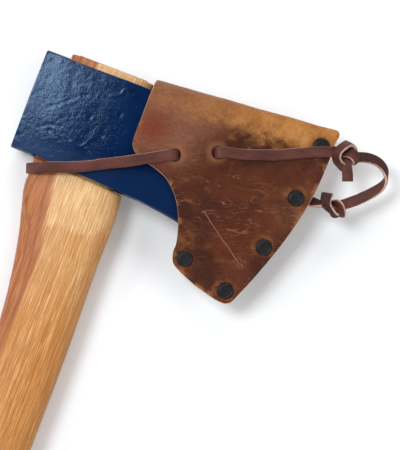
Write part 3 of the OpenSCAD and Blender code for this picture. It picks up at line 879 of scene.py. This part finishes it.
def wedge_solid(grow):
    """The wedge as a solid, grown at its top so that it can cut its slot."""
    start = (EYE_BACK + EYE_FRONT - WEDGE_LENGTH) / 2
    top = TENON_PROUD + WEDGE_PROUD
    sections = []
    for x in np.linspace(start, start + WEDGE_LENGTH, 45):
        ring = []
        for y in np.linspace(-WEDGE_DEPTH, top + grow, 24):
            half = WEDGE_TIP / 2 + (WEDGE_TOP - WEDGE_TIP) / 2 * (y + WEDGE_DEPTH) / (top + WEDGE_DEPTH)
            ring.append([x, y, half])
        ring += [[x, y, -z] for x, y, z in ring[::-1]]
        sections.append(ring)
    return loft(np.array(sections))


def handle_relief(points):
    """Slight waves left by shaving and sanding."""
    return 0.10 * noise_at(points * [1, 0.12, 1], 9, 2) + 0.05 * noise_at(points * [1, 0.3, 1], 3, 2, 5.0)


def make_handle():
    sides = HANDLE_SIDES
    rings = shrunk(eye_ring(TENON_PROUD, 1.2, sides), END_SHARES)
    for drop, inset in ((0.15, 0.6), (0.5, 0.2), (1, 0)):
        rings.append(eye_ring(TENON_PROUD - drop, inset, sides))
    for y in np.linspace(TENON_PROUD - 1.5, SHOULDER_Y, 30):
        rings.append(eye_ring(y, 0, sides))
    tenon, grip = np.array([EYE_BACK, EYE_FRONT, EYE_HALF_WIDTH]), np.array(HANDLE_STATIONS[0][1:])
    for drop, share in ((0.1, 0.45), (0.3, 0.8), (0.9, 0.95)):
        rings.append(oval(SHOULDER_Y - drop, *(tenon + (grip - tenon) * share), GRIP_FULLNESS, sides))
    for row in smooth_rows(HANDLE_STATIONS, 26):
        rings.append(oval(*row, GRIP_FULLNESS, sides))
    last_y, back, front, half = HANDLE_STATIONS[-1]
    for turn in np.radians([25, 45, 65, 90]):
        inset, y = 3 * (1 - np.cos(turn)), last_y - 2.5 * np.sin(turn)
        rings.append(oval(y, back + inset, front - inset, half - inset, GRIP_FULLNESS, sides))
    rings = np.array(rings + shrunk(rings[-1], END_SHARES[-2::-1]))
    x, y = rings[..., 0], rings[..., 1]
    raised = head_bottom(x) - SHOULDER_GAP - SHOULDER_Y
    rings[..., 1] += raised * step(SHOULDER_Y - 9, SHOULDER_Y, y) * (y < SHOULDER_Y + 0.01)
    handle = make_object("handle_hickory", *loft(rings), handle_relief)
    cut_away(handle, make_object("wedge_cut", *wedge_solid(2)))
    finish_piece(handle, wood_material("hickory", 30.5), "axe", "hickory", "handle")
    wedge = make_object("wedge_driven", *wedge_solid(0), lambda p: 0.06 * noise_at(p, 2, 3, 2) - 0.08)
    finish_piece(wedge, wood_material("wedge_wood", 90.0), "axe", "wedge_wood", "eye_wedge")


make_handle()

# ---- sheath ----

COLUMN_STEPS = 8
LEAF_POINTS = 112
FOLD_POINTS = 18
RIM_TURNS = np.radians([20, 45, 68, 90, 112, 135, 160])
RIM_BULGE, RIM_FULLNESS, RIM_END_SHARE = 0.55, 0.6, 0.04
RIM_INSET = 0.6
SKIN_SMOOTHING = 8


def smoothed(grid, rounds):
    """A grid of heights eased between its neighbours, with its border kept."""
    for _ in range(rounds):
        inner = (grid[:-2, 1:-1] + grid[2:, 1:-1] + grid[1:-1, :-2] + grid[1:-1, 2:]) / 4
        grid[1:-1, 1:-1] += 0.7 * (inner - grid[1:-1, 1:-1])
    return grid


def sheath_skins():
    """The outer and inner skins, as (columns, points, 3), from the front leaf over the fold to the back."""
    columns = smooth_rows(LEAF_COLUMNS, COLUMN_STEPS)
    share = np.linspace(0, 1, len(columns))
    ends = np.maximum(1 - share * 40, 0) - np.maximum(1 - (1 - share) * 40, 0)
    columns[:, [0, 2]] += RIM_INSET * ends[:, None]
    top, bottom = columns[:, :2], columns[:, 2:]
    along = unit(top - bottom)
    bottom = bottom + along * RIM_INSET
    guess = top - along * 6
    depth = LEATHER + 1.2 + 0.22 * leaf_inner(guess[:, 0], guess[:, 1])
    centre = top - along * depth[:, None]
    v = np.linspace(0, 1, LEAF_POINTS)
    leaf = bottom[:, None] + (centre - bottom)[:, None] * v[None, :, None]
    leaf[..., 0] += LEAF_BULGE * (share**2)[:, None] * (4 * v * (1 - v))[None]
    room = leaf_inner(centre[:, 0], centre[:, 1])
    turns = np.linspace(0, np.pi, FOLD_POINTS + 2)[1:-1]

    def skin(extra, deep):
        height = smoothed(leaf_inner(leaf[..., 0], leaf[..., 1]), SKIN_SMOOTHING) + extra
        front = np.concatenate([leaf, height[..., None]], axis=2)
        arc = centre[:, None] + along[:, None] * deep[:, None, None] * np.sin(turns)[None, :, None]
        wide = (room + extra)[:, None] * np.cos(turns)[None]
        fold = np.concatenate([arc, wide[..., None]], axis=2)
        return np.concatenate([front, fold, front[:, ::-1] * [1, 1, -1]], axis=1)

    return skin(LEATHER, depth), skin(0, depth - LEATHER)


def slot_outline(slot):
    """The round-ended outline of a slot."""
    along = LACE_WAY
    across = np.array([-LACE_WAY[1], LACE_WAY[0]])
    rows = []
    for a in 2 * np.pi * np.arange(31, -1, -1) / 32:
        u = SLOT_WIDTH / 2 * math.cos(a)
        v = SLOT_WIDTH / 2 * math.sin(a) + math.copysign((SLOT_LENGTH - SLOT_WIDTH) / 2, math.sin(a))
        rows.append(slot + u * along + v * across)
    return np.array(rows)


def slot_distance(x, y):
    """Distance outside the outline of the nearest slot, negative inside it."""
    reach = (SLOT_LENGTH - SLOT_WIDTH) / 2
    nearest = np.full(np.shape(x), 1e9)
    for slot in SLOTS:
        dx, dy = x - slot[0], y - slot[1]
        along, across = dx * LACE_WAY[0] + dy * LACE_WAY[1], dy * LACE_WAY[0] - dx * LACE_WAY[1]
        away = np.hypot(along, across - np.clip(across, -reach, reach))
        nearest = np.minimum(nearest, away - SLOT_WIDTH / 2)
    return nearest


def sheath_relief(points, skin):
    """Dimples at the rivets, sunk slot lips and soft waves, on the outer skin only."""
    x, y, _ = points.T
    height = 0.22 * noise_at(points, 20, 3, 2.0) + 0.07 * noise_at(points * [0.6, 1.5, 1], 5, 3, 6.0)
    for place in RIVETS:
        away = np.hypot(x - place[0], y - place[1])
        height -= 0.28 * np.exp(-(((away - CAP_RADIUS - 0.2) / 1.3) ** 2))
        height = np.where(away < CAP_RADIUS, np.minimum(height, -0.15), height)
    lips = np.maximum(slot_distance(x, y), 0)
    height -= 0.7 * np.exp(-((lips / 0.9) ** 2)) + 0.25 * np.exp(-((lips / 3.5) ** 2))
    return height * skin


def leather_colour(g, x, y, cloudy, mottled):
    """Brown leather, tan along its fold and reddened, greyed and rubbed in patches."""
    broad = g.noise(g.warped(g.place, 9, 0.05), 0.035, 5, 0.6)
    uneven = g.plus(cloudy, -0.5)
    top = g.rise(g.plus(y, g.times(x, -0.10), g.times(uneven, 30)), -25, -9)
    rear = g.rise(g.plus(x, g.times(y, -0.25), g.times(uneven, 20)), 128, 100)
    grey = g.mix(g.rise(mottled, 0.3, 0.75), (0.165, 0.056, 0.031), (0.255, 0.100, 0.056))
    worn = g.plus(g.times(cloudy, 0.6), g.times(mottled, 0.4))
    tan = g.mix(g.rise(worn, 0.36, 0.66), (0.36, 0.138, 0.034), (0.56, 0.245, 0.070))
    right = g.times(g.near(175, -38, 20, 4), g.rise(cloudy, 0.36, 0.62, 0.3, 1))
    colour = g.washed(
        g.mix(g.rise(broad, 0.38, 0.60), (0.042, 0.008, 0.003), (0.096, 0.020, 0.006)),
        (g.rise(cloudy, 0.52, 0.72), 0.55, (0.165, 0.052, 0.020)),
        (g.times(rear, g.rise(y, -52, -30)), 1, grey),
        (g.times(top, g.rise(x, 74, 150, 0.25, 1)), 1, tan),
        (g.near(78, -22, 15, 2), 0.85, (0.185, 0.034, 0.014)),
        (g.times(g.near(121, -82, 16, 3), g.rise(cloudy, 0.36, 0.60)), 0.75, (0.27, 0.092, 0.028)),
        (g.times(g.near(148, -62, 24, 4), g.rise(cloudy, 0.35, 0.6, 0.1, 0.55)), 1, (0.096, 0.016, 0.006)),
        (right, 0.7, (0.190, 0.062, 0.024)),
    )
    for at_x, at_y in RIVETS:
        halo = g.times(g.near(at_x - 1, at_y + 0.6, 8.4, 4.4), g.rise(cloudy, 0.40, 0.62, 0.1, 0.9))
        ring = g.near(at_x, at_y, 5.9, 4.9)
        colour = g.washed(colour, (halo, 1, (0.31, 0.115, 0.032)), (ring, 0.7, (0.050, 0.015, 0.007)))
    for at_x, at_y in SLOTS.tolist():
        colour = g.washed(colour, (g.near(at_x, at_y, 8.6, 4.4), 0.5, (0.32, 0.135, 0.060)))
    rubbed = g.times(g.rise(g.mark("border"), 3, 0.4), g.rise(cloudy, 0.50, 0.62))
    return g.mix(rubbed, colour, (0.27, 0.105, 0.038))


def thin_lines(g, field, middle, width, full=0):
    """1 where a field is within a full distance of a middle value, falling to 0 at a width from it."""
    return g.rise(g.math("ABSOLUTE", g.plus(field, -middle)), width, full)


def leather_material():
    """Pull-up leather with creases, scratches, a raw cut edge and a flesh side."""
    g = Graph("pull_up_leather")
    x, y = g.axis("X"), g.axis("Y")
    cut, inside = g.mark("cut"), g.mark("inside")
    cloudy = g.noise(g.warped(g.place, 9, 0.05), 0.11, 6, 0.62)
    mottled = g.noise(g.place, 0.55, 5, 0.7)
    pebbles = g.cells(g.warped(g.place, 0.8, 1.1), 1.9, "DISTANCE_TO_EDGE")
    speck = g.noise(g.place, 3.4, 3, 0.6)
    wavy = g.warped(g.place, 3, 0.16)
    flow = g.grain((0.026, 0.170, 0.1), 1.4, 0.5, turn=-21, place=wavy)
    fork = g.grain((0.050, 0.150, 0.1), 1.4, 0.5, turn=-4, place=wavy)
    small_flow = g.grain((0.060, 0.40, 0.2), 1.6, 0.5, turn=-27, place=wavy)
    veins = g.math("MAXIMUM", thin_lines(g, flow, 0.5, 0.013), thin_lines(g, fork, 0.46, 0.010))
    patchy = g.rise(g.grain((0.07, 0.24, 0.1), 3, 0.6, turn=-15), 0.46, 0.56)
    belly = g.times(g.rise(y, -92, -58), g.rise(y, -22, -36))
    creases = g.times(veins, patchy, g.rise(belly, 0, 1, 0.2, 1))
    small_veins = thin_lines(g, small_flow, 0.5, 0.018)
    small_creases = g.times(small_veins, g.rise(cloudy, 0.45, 0.6), g.rise(belly, 0, 1, 0.15, 0.8))
    line = g.plus(g.times(x, 0.571), g.times(y, 0.820), g.times(g.noise(g.place, 0.06, 2), 2))
    along = g.plus(g.times(x, 0.820), g.times(y, -0.571))
    length = g.times(g.rise(along, 134, 138), g.rise(along, 177, 172))
    long_scratch = g.times(thin_lines(g, line, 24.3, 0.55, 0.1), length)
    scuff = g.times(g.near(155.5, -79.5, 6, 1), g.rise(g.grain((0.3, 1.6, 1), 4, turn=35), 0.48, 0.6))
    scratch = g.math("MAXIMUM", long_scratch, scuff)
    raw = g.mix(g.rise(mottled, 0.3, 0.7), (0.34, 0.15, 0.095), (0.62, 0.36, 0.25))
    flesh = g.mix(g.rise(mottled, 0.3, 0.7), (0.22, 0.10, 0.055), (0.38, 0.19, 0.10))
    colour = g.washed(
        leather_colour(g, x, y, cloudy, mottled),
        (creases, 0.55, (0.33, 0.145, 0.075)),
        (small_creases, 0.45, (0.29, 0.125, 0.062)),
        (scratch, 0.55, (0.38, 0.17, 0.11)),
        (g.rise(speck, 0.54, 0.68), 0.38, (0.30, 0.13, 0.065)),
        (g.rise(pebbles, 0.12, 0), 0.38, (0.030, 0.009, 0.005)),
        (g.rise(cut, 0.25, 0.8), 1, raw),
        (inside, 1, flesh),
    )
    rough = g.plus(g.rise(cloudy, 0.3, 0.7, 0.46, 0.62), g.times(cut, 0.2), g.times(inside, 0.25))
    height = g.plus(
        g.times(g.rise(pebbles, 0, 0.22), 0.05), g.times(speck, 0.05), g.times(mottled, 0.09),
        g.times(creases, -0.16), g.times(small_creases, -0.09), g.times(scratch, -0.1), g.times(cloudy, 0.1),
    )
    return g.shaded(colour, rough, height, 0.13)


def make_sheath():
    outer, inner = sheath_skins()
    middle = (outer + inner) / 2
    half_wide = (outer - inner) / 2

    def rim(at, nearby, first):
        """Points round a cut edge, from the outer skin where first is 1 and from the inner where it is -1."""
        out = unit(outer[:, at] - outer[:, nearby])
        rows = []
        for turn in RIM_TURNS:
            side = first * np.sign(np.cos(turn)) * np.abs(np.cos(turn)) ** RIM_FULLNESS
            push = RIM_BULGE * np.sin(turn) ** RIM_FULLNESS
            rows.append(middle[:, at] + half_wide[:, at] * side + out * push)
        return np.stack(rows, axis=1)

    points = outer.shape[1]
    loops = np.concatenate([outer, rim(-1, -4, 1), inner[:, ::-1], rim(0, 3, -1)], axis=1)
    centres = np.concatenate([
        middle, np.repeat(middle[:, -1:], len(RIM_TURNS), axis=1), middle[:, ::-1],
        np.repeat(middle[:, :1], len(RIM_TURNS), axis=1),
    ], axis=1)
    turns = len(RIM_TURNS)
    cut = np.concatenate([np.zeros(points), np.ones(turns), np.zeros(points), np.ones(turns)])
    inside = np.concatenate([np.zeros(points + turns), np.ones(points), np.zeros(turns)])
    start, finish = [], []
    for turn in RIM_TURNS[:4]:
        keep = np.cos(turn) ** RIM_FULLNESS if turn < 1.57 else RIM_END_SHARE
        push = RIM_BULGE * np.sin(turn) ** RIM_FULLNESS
        for rows, end, nearby in ((start, 0, 3), (finish, -1, -4)):
            out = unit(loops[end] - loops[nearby])
            rows.append(centres[end] + (loops[end] - centres[end]) * keep + out * push)
    rings = np.concatenate([np.array(start[::-1]), loops, np.array(finish)])
    rows, ends = len(rings), len(start)
    cut_all, inside_all = np.tile(cut, (rows, 1)), np.tile(inside, (rows, 1))
    for some_rows in (slice(ends), slice(-ends, None)):
        cut_all[some_rows], inside_all[some_rows] = 1, 0
    solid, faces = loft(rings, ends=(False, False))
    sides = rings.shape[1]
    last = (rows - 1) * sides
    for k in range(points - 1 + turns):
        a, b, c, d = k, k + 1, (sides - turns - 2 - k) % sides, (sides - turns - 1 - k) % sides
        faces += [[a, d, c, b], [last + a, last + b, last + c, last + d]]
    outline = np.vstack([loops[:, 0], loops[-1, :points], loops[::-1, points - 1], loops[0, :points][::-1]])
    border = distance_to(solid, outline[::3, :2])
    skin = 1 - np.maximum(cut_all, inside_all).ravel()
    piece = make_object(
        "sheath_leather_skin", solid, faces, lambda p: sheath_relief(p, skin),
        {"cut": cut_all.ravel(), "inside": inside_all.ravel(), "border": border},
    )
    for slot in SLOTS:
        rings = [np.insert(slot_outline(slot), 2, z, axis=1) for z in (-30, 0, 30)]
        cut_away(piece, make_object("slot_cut", *loft(np.array(rings))), ["cut", "inside", "border"])
    finish_piece(piece, leather_material(), "sheath", "sheath_leather", "sheath_leather")


make_sheath()

# ---- rivets ----

CAP_OUTLINE = [
    [0.0, 1.02], [1.6, 1.05], [2.9, 1.08], [3.35, 1.10], [3.55, 1.0], [3.75, 1.10], [4.0, 1.27], [4.3, 1.28],
    [4.58, 1.12], [4.75, 0.82], [4.8, 0.45], [4.78, 0.0], [4.5, -0.5], [0.0, -0.5],
]
CAP_SIDES = 56


def cap_material():
    g = Graph("blackened_cap")
    worn = g.noise(g.place, 0.9, 5, 0.65)
    fine = g.noise(g.place, 5, 3)
    colour = g.mix(g.rise(worn, 0.5, 0.75), (0.006, 0.005, 0.0065), (0.012, 0.010, 0.012))
    height = g.plus(g.times(worn, 0.004), g.times(fine, 0.002))
    return g.shaded(colour, g.rise(worn, 0.3, 0.7, 0.34, 0.46), height, 0.25)


def make_caps():
    looks = cap_material()
    a = 2 * np.pi * np.arange(CAP_SIDES) / CAP_SIDES
    turns = np.stack([np.cos(a), np.sin(a), np.zeros(CAP_SIDES)], axis=1)
    for name, node, side in (
        ("rivet_caps_front", "rivet_studs", 1),
        ("rivet_caps_back", "rivet_back_caps", -1),
    ):
        caps = []
        for place in RIVETS:
            rings = [
                [*place, side * (CLOSED_GAP + LEATHER + height)] + max(radius, 0.02) * turns * [1, side, 1]
                for radius, height in CAP_OUTLINE[::-1]
            ]
            caps.append(loft(np.array(rings)))
        finish_piece(make_object(name, *joined(caps)), looks, "sheath", "black_rivet", node)


make_caps()

# ---- stage ----

FLOOR_SIZE = 6.0
# Softboxes: place right of, above and in front of the picture's middle, size in metres, watts and colour.
LIGHTS = {
    "sheen_softbox": ((-590, 490, 1750), (0.55, 0.55), 19.0, (0.88, 0.94, 1.0)),
    "left_softbox": ((-1150, 450, 800), (0.9, 0.9), 9.4, (1.0, 0.99, 0.97)),
    "top_softbox": ((150, 1150, 900), (1.0, 0.7), 7.8, (1.0, 1.0, 1.0)),
    "right_softbox": ((1200, -150, 900), (0.9, 0.9), 7.5, (1.0, 1.0, 1.0)),
    "bottom_softbox": ((-100, -1150, 900), (1.0, 0.7), 7.5, (1.0, 1.0, 1.0)),
}
WORLD_LIGHT = 0.08


def floor_material():
    g = Graph("paper_floor")
    fibre = g.noise(g.place, 900, 3)
    return g.shaded((0.93, 0.93, 0.93), g.rise(fibre, 0.3, 0.7, 0.8, 0.9))


def make_stage():
    half, low = FLOOR_SIZE / 2, CAD_BOX[0][2]
    mesh = bpy.data.meshes.new("floor")
    corners = [(-half, -half, low), (half, -half, low), (half, half, low), (-half, half, low)]
    mesh.from_pydata(corners, [], [(0, 1, 2, 3)])
    floor = placed("floor", mesh)
    mesh.materials.append(floor_material())
    for name, (place, (width, height), watts, colour) in LIGHTS.items():
        data = bpy.data.lights.new(name, "AREA")
        data.shape, data.size, data.size_y = "RECTANGLE", width, height
        data.energy, data.color = watts, colour
        lamp = placed(name, data)
        offset = np.array(place) @ np.array([VIEW_RIGHT, VIEW_UP, [0, 0, 1]])
        start, end = (Vector(p) for p in laid_down([VIEW_CENTRE + offset, VIEW_CENTRE]))
        aim = (end - start).to_track_quat("-Z", "Y")
        lamp.matrix_world = Matrix.Translation(start) @ aim.to_matrix().to_4x4()
    world = bpy.data.worlds.new("studio")
    world.use_nodes = True
    background = world.node_tree.nodes["Background"]
    background.inputs["Color"].default_value = (1, 1, 1, 1)
    background.inputs["Strength"].default_value = WORLD_LIGHT
    bpy.context.scene.world = world
    bpy.context.scene.view_settings.view_transform = "Standard"


make_stage()
